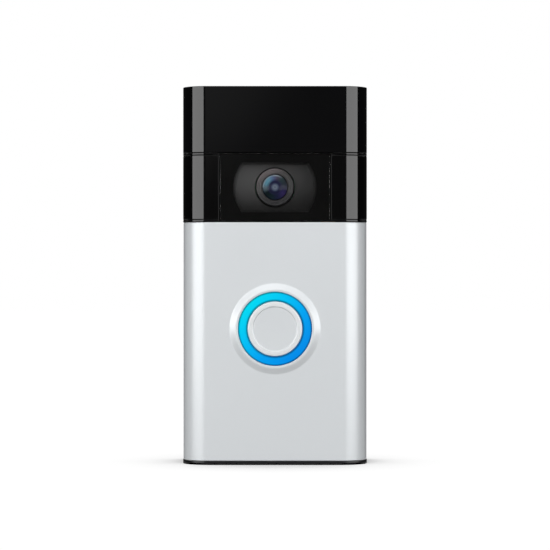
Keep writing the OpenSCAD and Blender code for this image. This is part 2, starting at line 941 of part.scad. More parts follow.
// Clear ring that carries the light forward around the button
module light_ring() {
    ring_in = button_r + 0.2;
    flange_out = ring_r + 1.3;
    color(blue) spun(0, button_h) polygon([
        [ring_in, ring_step_f], [ring_in, ring_front], [ring_r, ring_front], [ring_r, frame_back],
        [flange_out, frame_back], [flange_out, membrane_front], [ring_in + 1.05, membrane_front],
        [ring_in + 1.05, ring_step_f]
    ]);
}

// Silicone sheet under the ring and cap, with a boss over the switch
module button_membrane() {
    color("gainsboro") {
        rod(0, button_h, ring_r + 1.1, membrane_f, membrane_front);
        rod(0, button_h, 2, membrane_f - 0.5, membrane_f);
    }
}

module tact_switch() {
    body_f = 21.5;
    color(steel) {
        slab(0, button_h, 6, 6, button_board_front, body_f);
        rod(0, button_h, 1.5, body_f, membrane_f - 0.5);
    }
}

// Eight lamps under the ring
module ring_leds() {
    led_count = 8;
    led_at = 11;
    led_side = 1.6;
    color("white") for (i = [0 : led_count - 1])
        at(0, 0, button_h) rotate([0, i * 360 / led_count, 0])
            translate([led_at - led_side / 2, -button_board_front - 0.8, -led_side / 2])
                cube([led_side, 0.8, led_side]);
}

module button_board() {
    color(board_green) difference() {
        rod(0, button_h, button_board_r, button_board_f, button_board_front);
        for (turn = [90, 210, 330])
            rod(button_post_at * cos(turn), button_h + button_post_at * sin(turn), pilot_r,
                button_board_f - eps, button_board_front + eps);
    }
}

// Ribbon from the main board, over the battery, to the button board
module button_flex() {
    start_f = board_front + 1.28;
    end_f = button_board_f - 1.28;
    color(flex_amber) ribbon(-8, 6, [[start_f, 69], [start_f, 65], [end_f, 65], [end_f, 57]]);
}

// ---- Battery ----

module battery_pack() {
    color("royalblue") round_slab(0, (battery_bottom + battery_top) / 2, battery_w,
                                  battery_top - battery_bottom, 1.5, battery_f0, battery_f1);
}

// Small protection board on the battery's top end
module battery_board() {
    color(board_green) slab(0, battery_top + 0.6, 36, 1.2, 9, 16);
}

module battery_leads() {
    color("red") for (i = [-1 : 1])
        upright(i * 1.8, 12, 0.45, battery_top + 1.2, board_bottom + 0.5);
}

// Foam strips between the battery and the rear housing
module battery_pads() {
    pad_w = 34;
    pad_tall = 8;
    color(rubber) for (h = [battery_bottom + 10, battery_top - 10])
        slab(0, h, pad_w, pad_tall, inner_f, battery_f0);
}

// ---- Speaker and microphone ----

// An upright oblong prism over the sound holes
module speaker_prism(w, d, h0, h1) {
    at(0, speaker_f, h0) linear_extrude(h1 - h0) oblong(w, d);
}

module speaker_frame() {
    roof_h = 5.6;
    color(black) difference() {
        union() {
            speaker_prism(speaker_w, speaker_d, speaker_h0, speaker_h1);
            at(-speaker_tab_x, 13.2, speaker_wire_h - 0.6) cube([speaker_tab_x / 2, 2.4, 1.2]);
        }
        speaker_prism(speaker_w - 2 * speaker_wall, speaker_d - 2 * speaker_wall, speaker_h0 - eps, roof_h);
        upright(0, speaker_f, magnet_r, roof_h - eps, speaker_h1 + eps);
    }
}

// Cone with its voice coil
module speaker_cone() {
    cone_h = speaker_h0 + 0.8;
    coil_r = 4.4;
    coil_t = 0.6;
    color(grey) {
        speaker_prism(speaker_w - 2 * speaker_wall, speaker_d - 2 * speaker_wall, speaker_h0 + 0.2, cone_h);
        difference() {
            upright(0, speaker_f, coil_r, cone_h, 5);
            upright(0, speaker_f, coil_r - coil_t, cone_h, 5 + eps);
        }
    }
}

module speaker_magnet() {
    color(steel) upright(0, speaker_f, magnet_r, 5, 9);
}

module speaker_gasket() {
    color(rubber) difference() {
        speaker_prism(speaker_w, speaker_d, strip_h, speaker_h0);
        speaker_prism(speaker_w - 2 * speaker_wall, speaker_d - 2 * speaker_wall, strip_h - eps,
                      speaker_h0 + eps);
    }
}

// Microphone capsule under its own small board
module microphone() {
    capsule_h = 3.2;
    board_h = 4.2;
    color(brass) {
        at(wire_x - 1.75, mic_f + 1.35, capsule_h) cube([3.5, 2.7, board_h - capsule_h]);
        at(wire_x - 2.6, mic_f + 2, board_h) cube([5.2, 4, 0.8]);
    }
}

// Rubber sleeve that seals the microphone to its hole
module microphone_boot() {
    color(rubber) difference() {
        upright(wire_x, mic_f, 2.4, strip_h, 3.2);
        upright(wire_x, mic_f, mic_hole_r, strip_h - eps, 3.2 + eps);
    }
}

// Wires of the speaker, up the left of the battery, and of the microphone, up its right
module audio_leads() {
    bend_r = 2;
    color("crimson") for (f = wire_fs) {
        upright(wire_x, f, wire_r, 5, board_bottom);
        upright(-wire_x, f, wire_r, speaker_wire_h + bend_r, board_bottom);
        at(bend_r - wire_x, f, speaker_wire_h + bend_r) rotate([90, 0, 0])
            rotate([0, 0, 180]) rotate_extrude(angle = 90) translate([bend_r, 0]) circle(wire_r);
        at(-speaker_tab_x, f, speaker_wire_h) rotate([0, -90, 0])
            cylinder(r = wire_r, h = wire_x - bend_r - speaker_tab_x);
    }
}

mounting_bracket();
rear_housing();
housing_seal();
rear_label();
case_screws();
security_screw_left();
security_screw_right();
terminal_plates();
terminal_screw_left();
terminal_screw_right();
setup_button();
setup_switch();
usb_port();
main_board();
board_screws();
board_chips();
shield_cans();
wifi_antenna();
board_connectors();
front_frame();
faceplate();
top_cover();
camera_surround();
camera_window();
window_mask();
camera_baffle();
front_lens();
lens_barrel();
rear_lens();
lens_holder();
ir_cut_filter();
image_sensor();
camera_board();
camera_standoffs();
ir_board();
ir_leds();
sensor_flexes();
pir_board();
pir_sensors();
pir_lens();
button_cap();
light_ring();
button_membrane();
tact_switch();
ring_leds();
button_board();
button_flex();
battery_pack();
battery_board();
battery_leads();
battery_pads();
speaker_frame();
speaker_cone();
speaker_magnet();
speaker_gasket();
microphone();
microphone_boot();
audio_leads();
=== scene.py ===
"""A slim video doorbell on its wall bracket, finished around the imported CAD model.

Sizes are in millimetres until a mesh is made. x is the width, z is up and the front faces -y.
"""
import json
import math

import bmesh
import bpy
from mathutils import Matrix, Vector

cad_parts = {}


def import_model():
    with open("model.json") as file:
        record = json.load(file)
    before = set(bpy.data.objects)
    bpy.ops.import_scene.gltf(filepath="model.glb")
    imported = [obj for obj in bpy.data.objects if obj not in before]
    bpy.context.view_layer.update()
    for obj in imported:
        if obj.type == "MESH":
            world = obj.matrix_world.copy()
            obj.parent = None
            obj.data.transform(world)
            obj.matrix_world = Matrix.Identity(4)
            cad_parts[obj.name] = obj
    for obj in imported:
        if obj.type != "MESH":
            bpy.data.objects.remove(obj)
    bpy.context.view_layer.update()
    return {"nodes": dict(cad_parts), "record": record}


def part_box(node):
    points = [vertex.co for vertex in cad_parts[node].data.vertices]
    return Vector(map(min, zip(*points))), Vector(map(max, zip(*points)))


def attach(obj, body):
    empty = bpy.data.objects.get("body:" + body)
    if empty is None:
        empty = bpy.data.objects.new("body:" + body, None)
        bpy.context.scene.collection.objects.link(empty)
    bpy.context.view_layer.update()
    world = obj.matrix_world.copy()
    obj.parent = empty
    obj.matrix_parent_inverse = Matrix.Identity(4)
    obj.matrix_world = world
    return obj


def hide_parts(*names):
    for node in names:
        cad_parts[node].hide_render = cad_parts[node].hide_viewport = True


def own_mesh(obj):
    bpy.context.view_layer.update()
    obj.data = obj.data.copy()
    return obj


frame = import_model()

MM = 0.001
DOORBELL = "doorbell"


def box(node):
    """Lowest and highest corner of a CAD node, in millimetres."""
    low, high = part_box(node)
    return Vector(low) / MM, Vector(high) / MM


# ---- Sizes taken from the frame ----

cover_low, cover_high = box("top_cover")
plate_low, plate_high = box("faceplate")
surround_low, surround_high = box("camera_surround")
housing_low, housing_high = box("rear_housing")
window_low, window_high = box("camera_window")
mask_low, mask_high = box("window_mask")
baffle_low, baffle_high = box("camera_baffle")
barrel_low, barrel_high = box("lens_barrel")
lens_low, lens_high = box("front_lens")
cap_low, cap_high = box("button_cap")
ring_low, ring_high = box("light_ring")

HALF_W = cover_high.x
FRONT = cover_low.y
BACK = cover_high.y
BASE = housing_low.z
TOP = housing_high.z

camera_z = (lens_low.z + lens_high.z) / 2
button_z = (cap_low.z + cap_high.z) / 2

# ---- Sizes of the shapes ----

CORNER_R = 8.0       # the upright front corners
SKIN = 1.35          # from the outline to the inside of a skin
RING_IN = 9.35       # inner radius of the lit ring
RING_R = 12.3        # its outer radius
BEZEL_R = 15.4       # foot of the raised bezel
BOWL_R = 14.0        # radius of the camera bowl's opening
BOWL_HALF = 8.4      # half height of that opening, where its circle is cut flat
AXIS_R = 0.02        # how near its axis a turned solid starts and ends
ARC_STEPS = 20       # faces round a front corner
ROUND = 96           # faces round a full turn
TINY = 0.001         # lengths nearer than this are equal


# ---- Mesh helpers ----


def new_piece(name, mesh, material, body=DOORBELL, replaces=()):
    """A finished mesh as an object that rides on a body and stands for its CAD nodes."""
    for vertex in mesh.verts:
        vertex.co *= MM
    bmesh.ops.recalc_face_normals(mesh, faces=mesh.faces)
    data = bpy.data.meshes.new(name)
    mesh.to_mesh(data)
    mesh.free()
    data.shade_smooth()
    data.materials.append(material)
    obj = bpy.data.objects.new(name, data)
    bpy.context.scene.collection.objects.link(obj)
    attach(obj, body)
    if replaces:
        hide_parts(*replaces)
    return obj


def bevel(obj, width, angle):
    """Rounds the edges sharper than angle and keeps the flats flat."""
    edges = obj.modifiers.new("edges", "BEVEL")
    edges.width = width * MM
    edges.segments = 3
    edges.limit_method = "ANGLE"
    edges.angle_limit = math.radians(angle)
    edges.use_clamp_overlap = True
    weigh_normals(obj)


def soften_cad(obj, width):
    """Rounds a carried-over CAD node's edges and keeps its flats flat, without touching its mesh."""
    weld = obj.modifiers.new("weld", "WELD")
    weld.merge_threshold = 0.0005 * MM
    edges = obj.modifiers.new("edges", "BEVEL")
    edges.width = width * MM
    edges.segments = 2
    edges.limit_method = "ANGLE"
    edges.angle_limit = math.radians(40)
    edges.use_clamp_overlap = False
    edges.loop_slide = False
    edges.harden_normals = True


def weigh_normals(obj):
    """Lets the large faces set the shading of the small ones between them."""
    normals = obj.modifiers.new("normals", "WEIGHTED_NORMAL")
    normals.keep_sharp = True
    normals.weight = 60


def crisp(obj):
    """Keeps flat faces flat up to their sharp edges."""
    obj.data.set_sharp_from_angle(angle=math.radians(50))


def add_loop(mesh, points):
    """Points as new vertices of a mesh."""
    return [mesh.verts.new(p) for p in points]


def loop_edges(mesh, loop):
    """The edges round a loop of vertices."""
    return [mesh.edges.new((loop[i], loop[(i + 1) % len(loop)])) for i in range(len(loop))]


def join_loops(mesh, a, b, closed=True):
    """Quads between two loops of the same length."""
    count = len(a)
    for i in range(count if closed else count - 1):
        j = (i + 1) % count
        mesh.faces.new((a[i], a[j], b[j], b[i]))


def loft(loops, closed=False):
    """A skin over a list of closed loops, capped at both ends or closed on itself."""
    mesh = bmesh.new()
    rings = [add_loop(mesh, loop) for loop in loops]
    for a, b in zip(rings, rings[1:]):
        join_loops(mesh, a, b)
    if closed:
        join_loops(mesh, rings[-1], rings[0])
    else:
        mesh.faces.new(list(reversed(rings[0])))
        mesh.faces.new(rings[-1])
    return mesh


def circle_loop(radius, y, z, steps=ROUND, x=0):
    """Points round a circle that faces the front."""
    angles = [2 * math.pi * i / steps for i in range(steps)]
    return [Vector((x + radius * math.cos(a), y, z + radius * math.sin(a))) for a in angles]


def turned(profile, z):
    """A ring turned about the y axis at height z from a profile of (radius, y) points."""
    return loft([circle_loop(r, y, z) for r, y in profile], closed=True)


def turned_solid(profile, z, steps=ROUND):
    """The same for a profile that starts and ends near the axis."""
    return loft([circle_loop(r, y, z, steps) for r, y in profile])


def flank(side, inner_x=None):
    """Stations (x, y, nx, ny) along one side, from its back edge round the front corner."""
    centre_x = side * (HALF_W - CORNER_R)
    centre_y = FRONT + CORNER_R
    stations = [(side * HALF_W, BACK, side, 0)]
    for i in range(ARC_STEPS + 1):
        a = math.radians(90 * i / ARC_STEPS)
        nx, ny = side * math.cos(a), -math.sin(a)
        stations.append((centre_x + CORNER_R * nx, centre_y + CORNER_R * ny, nx, ny))
    if inner_x is not None:
        stations.append((side * inner_x, FRONT, 0, -1))
    return stations


def around():
    """Stations round the whole front, from the right side's back edge to the left side's."""
    return flank(1) + flank(-1)[::-1]


def sweep(stations, profile):
    """A closed profile of (inset, z) points carried along the outline."""
    loops = []
    for x, y, nx, ny in stations:
        loops.append([Vector((x - nx * inset, y - ny * inset, z)) for inset, z in profile])
    return loft(loops)


def rounded_rect(half_w, half_t, radius, steps=6):
    """A loop of (x, z) points around a rectangle with round corners."""
    points = []
    for k, (sx, sz) in enumerate(((1, 1), (-1, 1), (-1, -1), (1, -1))):
        for i in range(steps + 1):
            a = math.radians(90 * k + 90 * i / steps)
            points.append((sx * (half_w - radius) + radius * math.cos(a),
                           sz * (half_t - radius) + radius * math.sin(a)))
    return points


def cut_circle(radius, half_t):
    """A loop of (x, z) points around a circle cut flat above and below."""
    steps = 24
    limit = math.asin(half_t / radius)
    arc = [limit * (2 * i / steps - 1) for i in range(steps + 1)]
    right = [(radius * math.cos(a), radius * math.sin(a)) for a in arc]
    left = [(-x, -z) for x, z in right]
    return right + left


def in_plane(points, y, z):
    """Flat (x, z) points placed at depth y about height z."""
    return [Vector((px, y, z + pz)) for px, pz in points]


# ---- Material helpers ----


class Nodes:
    """A short way to build one material's node tree."""

    def __init__(self, name):
        self.material = bpy.data.materials.new(name)
        self.material.use_nodes = True
        self.tree = self.material.node_tree
        self.shader = self.tree.nodes["Principled BSDF"]
        self.output = self.tree.nodes["Material Output"]
        coords = self.add("ShaderNodeTexCoord")
        scale = self.add("ShaderNodeMapping")
        scale.inputs["Scale"].default_value = (1000, 1000, 1000)
        self.link(coords.outputs["Object"], scale.inputs["Vector"])
        self.place = scale.outputs["Vector"]  # millimetres in the object's own frame

    def add(self, kind, **settings):
        node = self.tree.nodes.new(kind)
        for key, value in settings.items():
            setattr(node, key, value)
        return node

    def link(self, start, end):
        self.tree.links.new(start, end)

    def set(self, **values):
        """Numbers for the shader's own sockets."""
        for key, value in values.items():
            self.shader.inputs[key.replace("_", " ")].default_value = value

    def noise(self, scale, detail=2.0, rough=0.5, stretch=None):
        """Noise whose features are about 1/scale millimetres wide."""
        node = self.add("ShaderNodeTexNoise")
        node.inputs["Scale"].default_value = scale
        node.inputs["Detail"].default_value = detail
        node.inputs["Roughness"].default_value = rough
        source = self.place
        if stretch:
            stretched = self.add("ShaderNodeMapping")
            stretched.inputs["Scale"].default_value = stretch
            self.link(self.place, stretched.inputs["Vector"])
            source = stretched.outputs["Vector"]
        self.link(source, node.inputs["Vector"])
        return node.outputs["Fac"]

    def ramp(self, value, stops):
        """A colour ramp: stops are (position, (r, g, b)) or (position, grey)."""
        node = self.add("ShaderNodeValToRGB")
        painted_reflection_band = node.color_ramp
        while len(painted_reflection_band.elements) < len(stops):
            painted_reflection_band.elements.new(0.5)
        for element, (position, colour) in zip(painted_reflection_band.elements, stops):
            element.position = position
            rgb = (colour,) * 3 if isinstance(colour, (int, float)) else colour
            element.color = (*rgb, 1)
        self.link(value, node.inputs["Fac"])
        return node.outputs["Color"]

    def spread(self, value, low, high):
        """A 0 to 1 value mapped to low to high."""
        node = self.add("ShaderNodeMapRange")
        node.inputs["To Min"].default_value = low
        node.inputs["To Max"].default_value = high
        self.link(value, node.inputs["Value"])
        return node.outputs["Result"]

    def maths(self, operation, a, b=None):
        """A sum of numbers or other nodes' outputs."""
        node = self.add("ShaderNodeMath", operation=operation)
        for socket, value in zip(node.inputs, (a, b)):
            if value is None:
                continue
            if isinstance(value, (int, float)):
                socket.default_value = value
            else:
                self.link(value, socket)
        return node.outputs["Value"]

    def mix(self, share, a, b, blend="MIX"):
        """Colours a and b mixed by share; each is a number, a colour or another node's output."""
        node = self.add("ShaderNodeMix", data_type="RGBA", blend_type=blend)
        for socket, value in ((node.inputs["Factor"], share), (node.inputs[6], a), (node.inputs[7], b)):
            if isinstance(value, (int, float)):
                socket.default_value = value
            elif isinstance(value, tuple):
                socket.default_value = (*value, 1)
            else:
                self.link(value, socket)
        return node.outputs[2]

    def axes(self):
        """The place as separate x, y and z, in millimetres."""
        node = self.add("ShaderNodeSeparateXYZ")
        self.link(self.place, node.inputs["Vector"])
        return node.outputs

    def radius_about(self, z):
        """Distance in millimetres from the y axis at height z."""
        x, _, height = self.axes()
        rise = self.maths("SUBTRACT", height, z)
        return self.maths("SQRT", self.maths("ADD", self.maths("MULTIPLY", x, x),
                                             self.maths("MULTIPLY", rise, rise)))

    def bump(self, height, strength, distance=0.02):
        """Bump of a height field, distance in millimetres."""
        node = self.add("ShaderNodeBump")
        node.inputs["Strength"].default_value = strength
        node.inputs["Distance"].default_value = distance * MM
        self.link(height, node.inputs["Height"])
        self.link(node.outputs["Normal"], self.shader.inputs["Normal"])

    def feed(self, value, socket):
        self.link(value, self.shader.inputs[socket])


def moulded(name, colour, rough=0.5, grain=6.0, depth=0.5):
    """Moulded plastic with a fine spark-eroded texture."""
    m = Nodes(name)
    fine = m.noise(grain, 3.0, 0.6)
    broad = m.noise(0.08, 2.0)
    dark = tuple(c * 0.85 for c in colour)
    light = tuple(min(1, c * 1.12) for c in colour)
    m.feed(m.ramp(broad, [(0.3, dark), (0.7, light)]), "Base Color")
    m.feed(m.spread(fine, rough - 0.06, rough + 0.08), "Roughness")
    m.bump(fine, depth)
    return m.material


def glossy(name, colour, rough):
    """High-gloss plastic with a faint flow ripple and uneven wipe marks."""
    m = Nodes(name)
    wipe = m.noise(0.05, 3.0, 0.6, stretch=(1, 1, 0.4))
    m.feed(m.ramp(wipe, [(0.35, colour), (0.8, tuple(c * 1.3 for c in colour))]), "Base Color")
    m.feed(m.spread(wipe, rough * 0.7, rough * 1.5), "Roughness")
    m.bump(m.noise(0.25, 1.0), 0.02)
    return m.material


def metal(name, colour, rough, stretch=None):
    """Bare metal, brushed along one way where stretch is given."""
    m = Nodes(name)
    lines = m.noise(3.0, 3.0, 0.7, stretch)
    m.feed(m.ramp(lines, [(0.25, tuple(c * 0.86 for c in colour)), (0.75, colour)]), "Base Color")
    m.feed(m.spread(lines, rough - 0.07, rough + 0.1), "Roughness")
    m.bump(lines, 0.15)
    m.set(Metallic=1.0)
    return m.material


def satin_silver(name, rim=None):
    """Satin silver finish: fine metallic grain under an even, soft sheen.

    rim is an optional (radius, z, colour): beyond that radius about z the finish is lighter.
    """
    m = Nodes(name)
    tint = (0.775, 0.805, 0.825)
    grain = m.noise(9.0, 2.0, 0.7)
    low = tuple(c * 0.975 for c in tint)
    colour = m.ramp(grain, [(0.3, low), (0.7, tint)])
    if rim:
        radius, z, bright = rim
        edge = m.spread(m.maths("SUBTRACT", m.radius_about(z), radius - 0.05), 0, 1)
        colour = m.mix(m.maths("MULTIPLY", edge, 8.0), colour, bright)
    m.feed(colour, "Base Color")
    m.feed(m.spread(m.noise(0.03, 2.0), 0.28, 0.33), "Roughness")
    m.bump(grain, 0.05, 0.004)
    m.set(Metallic=0.12)
    return m.material


def circuit_board(name):
    """Green solder mask over copper tracks, with tinned dots."""
    m = Nodes(name)
    brick = m.add("ShaderNodeTexBrick", offset=0.5, squash=1.0)
    brick.inputs["Scale"].default_value = 0.9
    brick.inputs["Mortar Size"].default_value = 0.09
    brick.inputs["Color1"].default_value = (0.012, 0.085, 0.045, 1)
    brick.inputs["Color2"].default_value = (0.016, 0.105, 0.055, 1)
    brick.inputs["Mortar"].default_value = (0.035, 0.19, 0.09, 1)
    turned_place = m.add("ShaderNodeMapping")
    turned_place.inputs["Rotation"].default_value = (math.radians(90), 0, 0)
    m.link(m.place, turned_place.inputs["Vector"])
    m.link(turned_place.outputs["Vector"], brick.inputs["Vector"])
    cells = m.add("ShaderNodeTexVoronoi")
    cells.inputs["Scale"].default_value = 0.55
    m.link(m.place, cells.inputs["Vector"])
    dots = m.ramp(cells.outputs["Distance"], [(0.12, 1.0), (0.16, 0.0)])
    m.feed(m.mix(dots, brick.outputs["Color"], (0.72, 0.7, 0.6)), "Base Color")
    m.feed(m.spread(m.noise(0.6), 0.25, 0.4), "Roughness")
    m.bump(brick.outputs["Fac"], 0.3, 0.03)
    return m.material


def ribbon(name):
    """Amber polyimide ribbon with copper tracks showing through."""
    m = Nodes(name)
    wave = m.add("ShaderNodeTexWave", bands_direction="X")
    wave.inputs["Scale"].default_value = 0.6
    m.link(m.place, wave.inputs["Vector"])
    m.feed(m.ramp(wave.outputs["Fac"], [(0.3, (0.42, 0.17, 0.02)), (0.7, (0.66, 0.33, 0.06))]),
           "Base Color")
    m.feed(m.spread(m.noise(0.8), 0.2, 0.35), "Roughness")
    return m.material


def see_through(name):
    """Clear polished plastic: see-through, with the mirror sheen of its front face."""
    m = Nodes(name)
    clear = m.add("ShaderNodeBsdfTransparent")
    sheen = m.add("ShaderNodeBsdfGlossy")
    m.link(m.spread(m.noise(0.1, 2.0), 0.01, 0.03), sheen.inputs["Roughness"])
    share = m.add("ShaderNodeFresnel")
    share.inputs["IOR"].default_value = 1.49
    side = m.add("ShaderNodeNewGeometry")
    outer = m.maths("SUBTRACT", 1.0, side.outputs["Backfacing"])
    mix = m.add("ShaderNodeMixShader")
    m.link(m.maths("MULTIPLY", share.outputs["Fac"], outer), mix.inputs["Fac"])
    m.link(clear.outputs["BSDF"], mix.inputs[1])
    m.link(sheen.outputs["BSDF"], mix.inputs[2])
    m.link(mix.outputs["Shader"], m.output.inputs["Surface"])
    return m.material


# ---- Materials ----

BLACK = (0.012, 0.012, 0.013)

finishes = {
    "bracket_grey": moulded("bracket plastic", (0.06, 0.06, 0.064), 0.5, 2.6, 1.0),
    "housing_black": moulded("housing plastic", BLACK, 0.42, 3.2, 1.0),
    "frame_black": moulded("frame plastic", (0.006, 0.006, 0.0065), 0.3, 8.0, 0.2),
    "faceplate_silver": satin_silver("satin silver"),
    "button_silver": satin_silver("button silver"),
    "cover_gloss": glossy("cover gloss", (0.0017, 0.0017, 0.002), 0.05),
    "surround_black": glossy("surround gloss", (0.0010, 0.0010, 0.0011), 0.06),
    "screw_steel": metal("screw steel", (0.55, 0.55, 0.57), 0.3),
    "terminal_brass": metal("terminal brass", (0.75, 0.52, 0.2), 0.3),
    "tin_plate": metal("tin plate", (0.66, 0.66, 0.67), 0.24, (0.2, 0.2, 4)),
    "magnet_steel": metal("magnet plating", (0.5, 0.5, 0.52), 0.2),
    "board_green": circuit_board("circuit board"),
    "flex_amber": ribbon("ribbon"),
}


def finish_for(slot):
    """The finish of a record slot: one of the tuned ones above, or one made from the record."""
    if slot in finishes:
        return finishes[slot]
    entry = next(m for m in frame["record"]["materials"] if m["slot"] == slot)
    colour = tuple(c ** 2.2 for c in entry["base_color"][:3])
    kind = entry["class"]
    if kind == "gloss_plastic":
        finishes[slot] = glossy(slot, colour, 0.12)
    elif kind == "rubber":
        finishes[slot] = moulded(slot, colour, 0.72, 3.0, 0.4)
    elif kind in ("glass", "aluminium"):
        finishes[slot] = glossy(slot, colour, 0.15)
    else:
        finishes[slot] = moulded(slot, colour)
    return finishes[slot]


EDGE_WIDTH = 0.05
WIDER_EDGES = {"rear_housing": 0.25, "front_frame": 0.12, "battery_pack": 0.1}


def dress_cad_nodes():
    """Every CAD node takes its slot's finish and fine rounded edges."""
    slots = {part["node"]: part["material_slot"] for part in frame["record"]["subparts"]}
    for name, obj in frame["nodes"].items():
        obj.data.materials.clear()
        obj.data.materials.append(finish_for(slots[name]))
        soften_cad(obj, WIDER_EDGES.get(name, EDGE_WIDTH))


dress_cad_nodes()


# ---- Faceplate ----


def eased(t, blend=0.2):
    """A straight ramp from 0 to 1 with a round foot and a round shoulder."""
    bend = 2 * blend * (1 - blend)
    if t < blend:
        return t * t / bend
    if t > 1 - blend:
        return 1 - (1 - t) ** 2 / bend
    return (t - blend / 2) / (1 - blend)


def bezel_profile(hole_r, crest_y, face_y):
    """(radius, y) points of the raised bezel, from the flat face over the crest into the hole."""
    lip = 0.22
    crest_in, crest_out = hole_r + lip, 13.0
    slope_steps = 16
    lip_steps = 5
    points = []
    for i in range(1, slope_steps + 1):
        t = i / slope_steps
        points.append((BEZEL_R + (crest_out - BEZEL_R) * t, face_y + (crest_y - face_y) * eased(t)))
    for i in range(lip_steps + 1):
        a = math.radians(90 * i / lip_steps)
        points.append((crest_in - lip * math.sin(a), crest_y + lip * (1 - math.cos(a))))
    return points


def faceplate():
    """The silver cover: a swept skin whose front is opened round the button and raised into the bezel."""
    bottom, top = plate_low.z, plate_high.z
    gap = HALF_W - plate_high.x
    face_y = FRONT + gap
    hole_r = RING_R + 0.1
    mesh = sweep(around(), [(gap, bottom), (gap, top), (SKIN, top), (SKIN, bottom)])
    flat_x = HALF_W - CORNER_R

    def faces_front(face):
        xs = [v.co.x for v in face.verts]
        ys = [v.co.y for v in face.verts]
        from_side_to_side = all(abs(abs(x) - flat_x) < TINY for x in xs) and max(xs) - min(xs) > flat_x
        return from_side_to_side and max(ys) - min(ys) < TINY

    for face in [f for f in mesh.faces if faces_front(f)]:
        y = face.verts[0].co.y
        edges = list(face.edges)
        outer = abs(y - face_y) < TINY
        loop = add_loop(mesh, circle_loop(BEZEL_R if outer else hole_r, y, button_z))
        mesh.faces.remove(face)
        bmesh.ops.triangle_fill(mesh, use_beauty=True, edges=edges + loop_edges(mesh, loop))
        if outer:
            outer_loop = loop
        else:
            inner_loop = loop
    last = outer_loop
    for radius, y in bezel_profile(hole_r, plate_low.y, face_y):
        ring = add_loop(mesh, circle_loop(radius, y, button_z))
        join_loops(mesh, last, ring)
        last = ring
    join_loops(mesh, last, inner_loop)
    obj = new_piece("faceplate_skin", mesh, finishes["faceplate_silver"],
                    replaces=("faceplate",))
    bevel(obj, 0.3, 50)


faceplate()


# ---- Top cover ----


def top_cover():
    """The glossy cap: a skin round the front and over the top, open below and behind."""
    bottom, top = cover_low.z, cover_high.z
    mesh = bmesh.new()

    def outline(inset, z):
        return add_loop(mesh, [(x - nx * inset, y - ny * inset, z) for x, y, nx, ny in around()])

    outer_low = outline(0, bottom)
    outer_high = outline(0, top)
    inner_low = outline(SKIN, bottom)
    inner_high = outline(SKIN, top - SKIN)
    join_loops(mesh, outer_low, outer_high, closed=False)
    join_loops(mesh, inner_high, inner_low, closed=False)
    join_loops(mesh, inner_low, outer_low, closed=False)
    mesh.faces.new(outer_high)
    mesh.faces.new(list(reversed(inner_high)))
    mesh.faces.new((outer_low[0], outer_high[0], inner_high[0], inner_low[0]))
    mesh.faces.new((outer_low[-1], inner_low[-1], inner_high[-1], outer_high[-1]))
    mesh.faces.new((outer_high[0], outer_high[-1], inner_high[-1], inner_high[0]))
    obj = new_piece("cover_cap", mesh, finishes["cover_gloss"],
                    replaces=("top_cover",))
    bevel(obj, 0.14, 50)


top_cover()


# ---- Camera section ----


def grooved_profile(bottom, top):
    """The wing's closed section, with a fine groove near each edge."""
    from_edge = 0.75
    half = 0.13
    half_floor = half * 0.6
    deep = 0.2
    points = [(0, bottom)]
    for z in (bottom + from_edge, top - from_edge):
        points += [(0, z - half), (deep, z - half_floor), (deep, z + half_floor), (0, z + half)]
    return points + [(0, top), (SKIN, top), (SKIN, bottom)]


def camera_surround():
    """The black band's two wings, each from the side round its corner to the window."""
    bottom, top = surround_low.z, surround_high.z
    slot_half = 18.8
    for side, name in ((1, "camera_wing_right"), (-1, "camera_wing_left")):
        mesh = sweep(flank(side, slot_half), grooved_profile(bottom, top))
        obj = new_piece(name, mesh, finishes["surround_black"],
                        replaces=("camera_surround",) if side > 0 else ())
        bevel(obj, 0.1, 60)


camera_surround()


def pocket_plate():
    """The floor behind the window that joins the wings, open for the lens and the infrared LEDs."""
    half_w, half_t = 20.1, (surround_high.z - surround_low.z) / 2
    middle_z = (surround_high.z + surround_low.z) / 2
    thickness = 0.8
    past_bowl = 0.6
    led_low, led_high = box("ir_leds")
    led_r = 1.6
    led_hole_r = 1.9
    led_x = led_high.x - led_r
    led_rise = (led_high.z - led_low.z) / 2 - led_r

    def outlines(y):
        yield in_plane(rounded_rect(half_w, half_t, 0.4, 3), y, middle_z)
        yield in_plane(cut_circle(BOWL_R + past_bowl, BOWL_HALF + past_bowl), y, camera_z)
        for side in (-1, 1):
            for rise in (-led_rise, led_rise):
                yield circle_loop(led_hole_r, y, camera_z + rise, 24, side * led_x)

    mesh = bmesh.new()
    sides = []
    for y in (mask_high.y + thickness, mask_high.y):
        loops = [add_loop(mesh, points) for points in outlines(y)]
        edges = [edge for loop in loops for edge in loop_edges(mesh, loop)]
        bmesh.ops.triangle_fill(mesh, use_beauty=True, edges=edges)
        sides.append(loops)
    for back, front in zip(*sides):
        join_loops(mesh, back, front)
    obj = new_piece("camera_pocket", mesh, finishes["surround_black"])
    crisp(obj)


pocket_plate()


def bevelled_plate(points_at, y_back, y_front, edge, z):
    """A flat plate with round front edges; points_at(inset) gives its outline."""
    loops = [in_plane(points_at(0), y_back, z)]
    steps = 4
    for i in range(steps + 1):
        a = math.radians(90 * i / steps)
        loops.append(in_plane(points_at(edge * (1 - math.cos(a))),
                              y_front + edge * (1 - math.sin(a)), z))
    return loft(loops)


def camera_window():
    """The clear flat panel between the wings."""
    half_w, half_t = window_high.x, (window_high.z - window_low.z) / 2
    middle_z = (window_high.z + window_low.z) / 2

    def outline(inset):
        return rounded_rect(half_w - inset, half_t - inset, 0.6 - inset * 0.9)

    mesh = bevelled_plate(outline, window_high.y, window_low.y, 0.13, middle_z)
    obj = new_piece("window_panel", mesh, see_through("window"),
                    replaces=("camera_window",))
    weigh_normals(obj)


camera_window()


